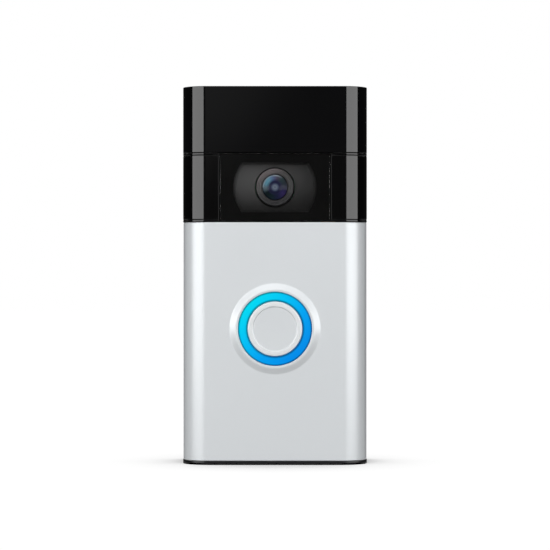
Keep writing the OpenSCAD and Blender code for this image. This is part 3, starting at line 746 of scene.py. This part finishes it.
def window_mask():
    """The black print behind the window, open where the lens looks out."""
    edge_gap = 0.05
    front_gap = 0.06
    half_w, half_t = mask_high.x - edge_gap, (mask_high.z - mask_low.z) / 2 - edge_gap
    mesh = bmesh.new()
    sides = []
    for y in (mask_low.y + front_gap, mask_high.y):
        rect = add_loop(mesh, in_plane(rounded_rect(half_w, half_t, 0.5), y, camera_z))
        hole = add_loop(mesh, in_plane(cut_circle(BOWL_R, BOWL_HALF), y, camera_z))
        sides.append((rect, hole))
        edges = loop_edges(mesh, rect) + loop_edges(mesh, hole)
        bmesh.ops.triangle_fill(mesh, use_beauty=True, edges=edges)
    for front, back in zip(*sides):
        join_loops(mesh, front, back)
    m = Nodes("mask print")
    m.feed(m.ramp(m.noise(0.06, 2.0), [(0.3, 0.0035), (0.8, 0.0055)]), "Base Color")
    m.feed(m.spread(m.noise(5.0), 0.45, 0.6), "Roughness")
    m.set(Specular_IOR_Level=0.0)
    obj = new_piece("mask_print", mesh, m.material, replaces=("window_mask",))
    crisp(obj)


window_mask()


def camera_baffle():
    """Shallow bowl whose floor runs in to the lens, coloured with painted light and shade."""
    rim_y = baffle_low.y
    back_y = baffle_high.y
    floor_y = back_y - 0.8
    hole_r = 6.7
    chamfer = 0.05

    def bowl_loop(out, up, y):
        """The opening's outline, grown by out in radius and by up in half height."""
        return in_plane(cut_circle(BOWL_R + out, BOWL_HALF + up), y, camera_z)

    def hole_loop(radius, y):
        """A circle whose points lie in the same directions as those of the opening."""
        angles = [math.atan2(z, x) for x, z in cut_circle(BOWL_R, BOWL_HALF)]
        return [Vector((radius * math.cos(a), y, camera_z + radius * math.sin(a))) for a in angles]

    mesh = loft([
        bowl_loop(0.5, 0.5, back_y), bowl_loop(0.5, 0.5, rim_y), bowl_loop(0, 0, rim_y),
        bowl_loop(-0.4, -0.3, floor_y - 0.6), bowl_loop(-1.1, -0.7, floor_y),
        hole_loop(hole_r + chamfer, floor_y), hole_loop(hole_r, floor_y + chamfer),
        hole_loop(hole_r, back_y),
    ], closed=True)
    m = Nodes("bowl plastic painted shade")
    x, y, z = m.axes()
    # Painted light and shade: the bowl is lightest towards its upper left and darkens outwards from there,
    # standing in for how light falls in the bowl.
    painted_light_x, painted_light_z = -7.0, camera_z + 3.0
    spread_x, spread_z = 18.0, 7.8
    darkest_at = 2.5
    across = m.maths("DIVIDE", m.maths("SUBTRACT", x, painted_light_x), spread_x)
    up = m.maths("DIVIDE", m.maths("SUBTRACT", z, painted_light_z), spread_z)
    reach = m.maths("ADD", m.maths("MULTIPLY", across, across), m.maths("MULTIPLY", up, up))
    painted_light_and_shade = m.ramp(m.maths("DIVIDE", reach, darkest_at), [
        (0.0, 0.07), (0.2, 0.046), (0.4, 0.029), (0.6, 0.018), (0.8, 0.012), (1.0, 0.009),
    ])
    # Painted shadow: the colour goes black at the bore's wall, at 6.7 mm from the lens axis and inside it.
    rim = m.ramp(m.maths("DIVIDE", m.radius_about(camera_z), 10.0), [(0.671, 0.0), (0.676, 1.0)])
    # Painted shade: the bowl's wall is darker towards its rim, half as bright there as on the floor.
    depth = m.maths("DIVIDE", m.maths("SUBTRACT", y, rim_y), floor_y - rim_y)
    painted_wall_shade = m.ramp(depth, [(0.0, 0.5), (0.5, 0.8), (1.0, 1.0)])
    m.feed(m.mix(1.0, m.mix(1.0, painted_light_and_shade, rim, "MULTIPLY"), painted_wall_shade, "MULTIPLY"), "Base Color")
    fine = m.noise(6.0, 3.0, 0.6)
    m.feed(m.spread(fine, 0.6, 0.75), "Roughness")
    m.bump(fine, 0.3)
    m.set(Specular_IOR_Level=0.04)
    obj = new_piece("camera_bowl", mesh, m.material, replaces=("camera_baffle",))
    bevel(obj, 0.15, 25)


camera_baffle()


# ---- Lens ----


def lens_barrel():
    """Barrel with a flange whose face steps down to the lens in machined grooves, coloured with painted
    light, a painted highlight and painted shade in the grooves.
    """
    front, back = barrel_low.y, barrel_high.y
    bore_r = 3.2
    seat_r = 4.35
    seat_y = lens_high.y
    tube_r = 5.6
    flange_r = barrel_high.x
    flange_back = front + 2.4
    outer, inner = flange_r - 0.3, 4.62
    grooves = 3
    pitch = (outer - inner) / grooves
    step, deep = 0.07, 0.14
    profile = [(bore_r, back), (tube_r, back), (tube_r, flange_back), (flange_r, flange_back),
               (flange_r, front + 0.3), (flange_r - 0.1, front + 0.1), (outer, front + 0.03)]
    for i in range(grooves):
        r = outer - i * pitch
        crest = front + 0.03 + step * i
        profile += [(r - pitch * 0.55, crest), (r - pitch * 0.7, crest + deep),
                    (r - pitch * 0.85, crest + deep), (r - pitch, crest + step)]
    profile += [(seat_r + 0.07, front + 0.6), (seat_r, front + 0.8), (seat_r, seat_y), (bore_r, seat_y)]
    m = Nodes("barrel")
    # Painted light and shade: the barrel is lighter towards the top and a little to the left and darker
    # towards the lower right, with a painted highlight at the upper left.
    x, _, z = m.axes()
    painted_light_slant = m.maths("SUBTRACT", m.maths("MULTIPLY", m.maths("SUBTRACT", z, camera_z), 0.9),
                    m.maths("MULTIPLY", x, 0.45))
    painted_light_share = m.maths("ADD", m.maths("DIVIDE", painted_light_slant, 2 * flange_r), 0.5)
    painted_light_and_shade = m.ramp(painted_light_share, [(0.0, (0.021, 0.021, 0.023)), (0.3, (0.026, 0.026, 0.027)),
                           (0.62, (0.052, 0.051, 0.051)), (0.78, (0.075, 0.07, 0.071)),
                           (0.95, (0.15, 0.13, 0.134))])
    # Painted shade: the colour is halved at the bottom of each machined groove and full on the crests.
    crest_r = outer - 0.275 * pitch
    past_crest = m.maths("SUBTRACT", m.radius_about(camera_z), crest_r)
    wave = m.maths("COSINE", m.maths("MULTIPLY", past_crest, 2 * math.pi / pitch))
    painted_groove_shade = m.ramp(m.maths("ADD", m.maths("MULTIPLY", wave, 0.5), 0.5), [(0.0, 0.5), (0.7, 1.0)])
    m.feed(m.mix(1.0, painted_light_and_shade, painted_groove_shade, "MULTIPLY"), "Base Color")
    m.feed(m.spread(m.noise(4.0), 0.32, 0.45), "Roughness")
    m.set(Specular_IOR_Level=0.3)
    obj = new_piece("barrel_ring", turned(profile, camera_z), m.material,
                    replaces=("lens_barrel",))
    weigh_normals(obj)


lens_barrel()


def painted_lens_reflections():
    """Dark coated optics whose colours are painted reflections: a pale core, indigo rings, and a teal to
    violet band with a painted highlight on its edge.
    """
    m = Nodes("coated lens painted reflections")
    x, _, z = m.axes()
    rise = m.maths("SUBTRACT", z, camera_z)
    reach = m.maths("DIVIDE", m.radius_about(camera_z), lens_high.x)
    # Painted reflections by distance from the axis: a pale painted highlight at the centre, then dark
    # indigo rings.
    rings = m.ramp(reach, [
        (0.0, (0.06, 0.08, 0.11)), (0.12, (0.14, 0.17, 0.22)), (0.22, (0.08, 0.10, 0.15)),
        (0.34, (0.016, 0.018, 0.05)), (0.46, (0.008, 0.009, 0.034)), (0.54, (0.018, 0.02, 0.054)),
        (0.62, (0.009, 0.01, 0.036)), (0.84, (0.008, 0.009, 0.026)), (1.0, (0.002, 0.002, 0.004)),
    ])
    angle = m.maths("ARCTAN2", rise, x)
    turn = m.maths("ADD", m.maths("DIVIDE", angle, 2 * math.pi), 0.5)
    # Painted reflection tint round the lens: teal towards the upper left, violet towards the lower right.
    hue = m.ramp(turn, [
        (0.0, (0.06, 0.10, 0.125)), (0.09, (0.004, 0.01, 0.012)), (0.2, (0.006, 0.016, 0.02)),
        (0.3, (0.012, 0.014, 0.045)), (0.4, (0.032, 0.022, 0.095)), (0.47, (0.012, 0.012, 0.045)),
        (0.56, (0.008, 0.016, 0.024)), (0.64, (0.012, 0.03, 0.032)), (0.72, (0.06, 0.05, 0.085)),
        (0.79, (0.07, 0.11, 0.22)), (0.87, (0.09, 0.24, 0.31)), (0.95, (0.07, 0.20, 0.27)),
        (1.0, (0.06, 0.10, 0.125)),
    ])
    painted_reflection_band = m.ramp(reach, [(0.46, 0.0), (0.68, 1.0), (0.9, 1.0), (0.98, 0.0)])
    # Painted highlight: a pale crescent near the edge, mostly at the top and upper left.
    edge = m.maths("MULTIPLY", m.ramp(reach, [(0.83, 0.0), (0.9, 1.0), (0.95, 1.0), (0.99, 0.0)]),
                   m.ramp(turn, [(0.64, 0.0), (0.74, 1.0), (0.8, 0.5), (0.95, 0.7), (1.0, 0.4)]))
    m.feed(m.mix(edge, m.mix(painted_reflection_band, rings, hue), (0.22, 0.27, 0.3)), "Base Color")
    m.set(Roughness=0.04, Specular_IOR_Level=0.1)
    return m.material


def front_lens():
    """Dome of the front glass on a short straight edge."""
    rim_r = lens_high.x
    back = lens_high.y
    crown = lens_low.y
    edge_t = 1.0
    rise = back - edge_t - crown
    dome_r = (rim_r ** 2 + rise ** 2) / (2 * rise)
    profile = [(AXIS_R, back), (rim_r, back)]
    steps = 16
    for i in range(steps + 1):
        r = rim_r * (1 - i / steps) + AXIS_R * i / steps
        profile.append((r, crown + dome_r - math.sqrt(dome_r ** 2 - r * r)))
    new_piece("lens_dome", turned_solid(profile, camera_z, 64), painted_lens_reflections(),
              replaces=("front_lens",))


front_lens()


# ---- Doorbell button ----


def button_cap():
    """Round cap with a raised rim, a sunk face, and a flange, skirt and stem behind."""
    crest, back = cap_low.y, cap_high.y
    stem_r = 2.2
    skirt_in = 8
    rim_r = 9.15
    rim_in = 7.4
    face_y = crest + 0.4
    inside_y = back - 2.3
    flange_r = cap_high.x
    flange_back, flange_front = back - 0.6, back - 1.4
    profile = [(AXIS_R, back), (stem_r, back), (stem_r, inside_y), (skirt_in, inside_y),
               (skirt_in, flange_back), (flange_r, flange_back), (flange_r, flange_front),
               (rim_r, flange_front), (rim_r, crest + 0.3), (rim_r - 0.08, crest + 0.1),
               (rim_r - 0.3, crest), (rim_in + 0.25, crest), (rim_in + 0.1, crest + 0.05),
               (rim_in, crest + 0.18), (rim_in - 0.1, face_y - 0.06), (rim_in - 0.25, face_y),
               (AXIS_R, face_y)]
    satin = satin_silver("button satin", rim=(rim_in, button_z, (0.86, 0.885, 0.90)))
    obj = new_piece("button_disc", turned_solid(profile, button_z), satin,
                    body="door_button", replaces=("button_cap",))
    weigh_normals(obj)


button_cap()


def button_membrane():
    """Silicone sheet with a thin web and a plunger; the real web flexes as the button goes in, but this
    mesh keeps its rest shape.
    """
    low, high = box("button_membrane")
    front, back = low.y, high.y
    rim_r = high.x
    sheet_back = front + 0.6
    web_front = sheet_back - 0.25
    plunger_r = 2.0
    web_in, web_out = 2.6, 5.4
    slope = 0.35
    round_off = 0.15
    profile = [(AXIS_R, back), (plunger_r - round_off, back), (plunger_r, back - round_off),
               (plunger_r, sheet_back), (rim_r - round_off, sheet_back), (rim_r, sheet_back - round_off),
               (rim_r, front + round_off), (rim_r - round_off, front), (web_out, front),
               (web_out - slope, web_front), (web_in + slope, web_front), (web_in, front),
               (AXIS_R, front)]
    obj = new_piece("silicone_sheet", turned_solid(profile, button_z, 64), finish_for("silicone_clear"),
                    replaces=("button_membrane",))
    weigh_normals(obj)
    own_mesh(obj)


button_membrane()


def lit_ring():
    """Translucent ring, cyan at its upper left and deeper blue at its lower right."""
    m = Nodes("lit ring")
    x, _, z = m.axes()
    rise = m.maths("SUBTRACT", z, button_z)
    along = m.maths("DIVIDE", m.maths("SUBTRACT", x, rise), 2.9 * RING_R)
    hue = m.ramp(m.maths("ADD", along, 0.5), [
        (0.02, (0.0, 0.74, 0.93)), (0.3, (0.0, 0.57, 0.96)), (0.62, (0.0, 0.37, 0.92)),
        (0.98, (0.0, 0.25, 0.84)),
    ])
    share = m.maths("DIVIDE", m.maths("SUBTRACT", m.radius_about(button_z), RING_IN), RING_R - RING_IN)
    glow = m.ramp(share, [(0.0, 0.25), (0.12, 0.6), (0.22, 1.0), (0.8, 1.0), (0.9, 0.6), (1.0, 0.25)])
    m.feed(m.mix(1.0, hue, glow, "MULTIPLY"), "Emission Color")
    m.feed(m.ramp(m.noise(0.5, 2.0), [(0.3, (0.0, 0.02, 0.03)), (0.7, (0.0, 0.03, 0.04))]), "Base Color")
    m.set(Emission_Strength=0.92, Roughness=0.25, Specular_IOR_Level=0.1)
    return m.material


def light_ring():
    """The light guide, with rounded front edges and a flange behind the frame."""
    front, back = ring_low.y, ring_high.y
    round_off = 0.15
    flange_r = ring_high.x
    flange_in = RING_IN + 1.05
    step_y = front + 2.5
    frame_y = front + 2.95
    profile = [(RING_IN, step_y), (RING_IN, front + round_off), (RING_IN + round_off, front),
               (RING_R - round_off, front), (RING_R, front + round_off), (RING_R, frame_y),
               (flange_r, frame_y), (flange_r, back), (flange_in, back), (flange_in, step_y)]
    obj = new_piece("ring_glow", turned(profile, button_z), lit_ring(),
                    replaces=("light_ring",))
    weigh_normals(obj)


light_ring()


# ---- Security screws ----


def upright_loop(radius_at, x, y, z, steps=36):
    """A level loop about the upright axis at (x, y); radius_at(angle) gives its radius."""
    angles = [2 * math.pi * i / steps for i in range(steps)]
    return [Vector((x + radius_at(a) * math.cos(a), y + radius_at(a) * math.sin(a), z)) for a in angles]


def security_screw(side):
    """A headed screw with a hexagon socket and a rolled thread, pointing up."""
    node = f"security_screw_{side}"
    low, high = box(node)
    x, y = (low.x + high.x) / 2, (low.y + high.y) / 2
    head_r = (high.x - low.x) / 2
    head_top = low.z + 1.4
    shank_r = 0.9
    root_r = 0.7
    pitch = 0.45
    rows_a_turn = 10
    socket_r = 0.85
    socket_deep = 1.1

    def plain(radius):
        return lambda a: radius

    def hexagon(a):
        return socket_r * math.cos(math.pi / 6) / math.cos(a % (math.pi / 3) - math.pi / 6)

    def thread(z):
        def radius(a):
            wave = 0.5 + 0.5 * math.cos(2 * math.pi * z / pitch - a)
            return root_r + (shank_r - root_r) * wave ** 1.5
        return radius

    rows = [(hexagon, low.z + socket_deep), (hexagon, low.z + 0.06), (plain(socket_r + 0.1), low.z),
            (plain(head_r - 0.25), low.z), (plain(head_r - 0.07), low.z + 0.07),
            (plain(head_r), low.z + 0.25), (plain(head_r), head_top - 0.12),
            (plain(head_r - 0.1), head_top), (plain(shank_r), head_top), (plain(shank_r), head_top + 0.4)]
    start, end = head_top + 0.6, high.z - 0.6
    count = round((end - start) / pitch * rows_a_turn)
    for i in range(count + 1):
        z = start + (end - start) * i / count
        rows.append((thread(z), z))
    rows += [(plain(root_r), high.z - 0.5), (plain(root_r * 0.55), high.z)]
    mesh = loft([upright_loop(radius_at, x, y, z) for radius_at, z in rows])
    obj = new_piece(f"guard_screw_{side}", mesh, finishes["screw_steel"], body=node,
                    replaces=(node,))
    weigh_normals(obj)


security_screw("left")
security_screw("right")


# ---- Floor, lights and camera ----


def floor():
    """A white floor for the eye alone, with a short contact shadow, open from below."""
    half_side = 3.0
    below_base = 0.00005
    shadow_reach = 0.045
    mesh = bmesh.new()
    bmesh.ops.create_grid(mesh, x_segments=1, y_segments=1, size=half_side)
    data = bpy.data.meshes.new("floor")
    mesh.to_mesh(data)
    mesh.free()
    plane = bpy.data.objects.new("floor", data)
    plane.location = (0, 0, BASE * MM - below_base)
    plane.visible_diffuse = False
    plane.visible_glossy = False
    plane.visible_shadow = False
    bpy.context.scene.collection.objects.link(plane)
    m = Nodes("floor")
    open_air = m.add("ShaderNodeAmbientOcclusion", samples=8)
    open_air.inputs["Distance"].default_value = shadow_reach
    hidden = m.maths("SUBTRACT", 1.0, open_air.outputs["AO"])
    shadow = m.maths("MULTIPLY", m.maths("POWER", hidden, 2.0), 1.8)
    glow = m.add("ShaderNodeEmission")
    m.link(m.maths("SUBTRACT", 1.02, shadow), glow.inputs["Strength"])
    side = m.add("ShaderNodeNewGeometry")
    clear = m.add("ShaderNodeBsdfTransparent")
    by_side = m.add("ShaderNodeMixShader")
    m.link(side.outputs["Backfacing"], by_side.inputs["Fac"])
    m.link(glow.outputs["Emission"], by_side.inputs[1])
    m.link(clear.outputs["BSDF"], by_side.inputs[2])
    m.link(by_side.outputs["Shader"], m.output.inputs["Surface"])
    data.materials.append(m.material)


def area_light(name, place, aim, size, radiance, mirrored=True, soft=True, fade=None):
    """A soft box of a given radiance, turned towards aim.

    mirrored lets it show in reflections, soft lets it light matt surfaces, and fade is the share of
    its brightness left at its lower edge.
    """
    data = bpy.data.lights.new(name, "AREA")
    data.shape = "RECTANGLE"
    data.size, data.size_y = size
    data.energy = radiance * math.pi * size[0] * size[1]
    if fade is not None:
        data.use_nodes = True
        tree = data.node_tree
        across = tree.nodes.new("ShaderNodeNewGeometry")
        split = tree.nodes.new("ShaderNodeSeparateXYZ")
        level = tree.nodes.new("ShaderNodeMapRange")
        level.inputs["To Min"].default_value = fade
        tree.links.new(across.outputs["Parametric"], split.inputs["Vector"])
        tree.links.new(split.outputs["Y"], level.inputs["Value"])
        tree.links.new(level.outputs["Result"], tree.nodes["Emission"].inputs["Strength"])
    lamp = bpy.data.objects.new(name, data)
    lamp.location = place
    lamp.visible_camera = False
    lamp.visible_glossy = mirrored
    lamp.visible_diffuse = soft
    direction = Vector(aim) - Vector(place)
    lamp.rotation_euler = direction.to_track_quat("-Z", "Y").to_euler()
    bpy.context.scene.collection.objects.link(lamp)


def lights():
    """Bright boxes beside the front at its own height, dimmer ones above them, and boxes behind."""
    distance = 0.6
    middle = math.radians(43.5)
    half_angle = math.radians(27.5)
    width = 2 * distance * math.tan(half_angle)
    join = 0.137
    # name, lower edge, upper edge, radiance, and the share of it left at the lower edge
    rows = (("softbox", BASE * MM, join, 4.0, 0.925), ("upper softbox", join, 0.55, 1.4, None))
    for side, name in ((-1, "left"), (1, "right")):
        for row, bottom, top, radiance, fade in rows:
            rise = (bottom + top) / 2
            place = (side * distance * math.sin(middle), -distance * math.cos(middle), rise)
            area_light(f"{row} {name}", place, (0, 0, rise), (width, top - bottom), radiance, soft=False,
                       fade=fade)
        area_light(f"rear softbox {name}", (side * 0.55, 0.5, 0.62), (0, 0, 0), (0.5, 0.4), 3.0, soft=False)
    area_light("overhead", (0, -0.42, 0.46), (0, 0, 0), (0.5, 0.3), 1.7, soft=False)
    area_light("key", (-0.15, -1.3, 0.75), (0, 0, 0), (0.9, 0.9), 5.35, mirrored=False)


def world():
    """White to the eye, even soft light for matt surfaces, and a dark room in reflections.

    The room is a little lighter ahead of the front, has a pale card near the lens and a pale floor
    behind the object.
    """
    sky = bpy.data.worlds.new("studio")
    bpy.context.scene.world = sky
    sky.use_nodes = True
    tree = sky.node_tree
    direction = tree.nodes.new("ShaderNodeTexCoord").outputs["Generated"]

    def towards(x, y, z):
        """Cosine of the angle between a ray and the direction (x, y, z)."""
        node = tree.nodes.new("ShaderNodeVectorMath")
        node.operation = "DOT_PRODUCT"
        node.inputs[1].default_value = Vector((x, y, z)).normalized()
        tree.links.new(direction, node.inputs[0])
        return node.outputs["Value"]

    def level(value, start, end, low, high):
        """A smooth rise from low to high as value goes from start to end."""
        node = tree.nodes.new("ShaderNodeMapRange")
        node.interpolation_type = "SMOOTHSTEP"
        for socket, number in zip(("From Min", "From Max", "To Min", "To Max"), (start, end, low, high)):
            node.inputs[socket].default_value = number
        tree.links.new(value, node.inputs["Value"])
        return node.outputs["Result"]

    def maths(operation, a, b):
        node = tree.nodes.new("ShaderNodeMath")
        node.operation = operation
        tree.links.new(a, node.inputs[0])
        tree.links.new(b, node.inputs[1])
        return node.outputs["Value"]

    def background(strength):
        node = tree.nodes.new("ShaderNodeBackground")
        node.inputs["Color"].default_value = (1, 1, 1, 1)
        if isinstance(strength, (int, float)):
            node.inputs["Strength"].default_value = strength
        else:
            tree.links.new(strength, node.inputs["Strength"])
        return node.outputs["Background"]

    def choose(switch, otherwise, chosen):
        """One shader for the rays that the switch picks and another for the rest."""
        node = tree.nodes.new("ShaderNodeMixShader")
        tree.links.new(switch, node.inputs["Fac"])
        tree.links.new(otherwise, node.inputs[1])
        tree.links.new(chosen, node.inputs[2])
        return node.outputs["Shader"]

    room = level(towards(0, -1, 0), 0.2, 0.95, 0.015, 0.06)
    card = level(towards(-0.055, -1, 0.1), 0.9975, 0.9999, 0.0, 0.18)
    floor_behind = maths("MULTIPLY", level(towards(0, 1, 0), 0.05, 0.5, 0.0, 1.0),
                         level(towards(0, 0, -1), 0.03, 0.3, 0.0, 0.5))
    mirrored = maths("ADD", maths("ADD", room, card), floor_behind)
    path = tree.nodes.new("ShaderNodeLightPath")
    unseen = choose(path.outputs["Is Glossy Ray"], background(0.41), background(mirrored))
    seen = choose(path.outputs["Is Camera Ray"], unseen, background(1.0))
    tree.links.new(seen, tree.nodes["World Output"].inputs["Surface"])


def camera():
    """Level, a hair above the middle of the front, from 0.75 m."""
    distance = 0.75
    view_width = 183.7314  # millimetres seen across at the front
    above_middle = 0.1
    data = bpy.data.cameras.new("camera")
    data.sensor_width = 36
    data.lens = data.sensor_width * distance / (view_width * MM)
    data.clip_start = 0.01
    view = bpy.data.objects.new("camera", data)
    view.location = (0, FRONT * MM - distance, ((TOP + BASE) / 2 + above_middle) * MM)
    view.rotation_euler = (math.radians(90), 0, 0)
    bpy.context.scene.collection.objects.link(view)
    bpy.context.scene.camera = view


floor()
lights()
world()
camera()
bpy.context.scene.view_settings.view_transform = "Standard"
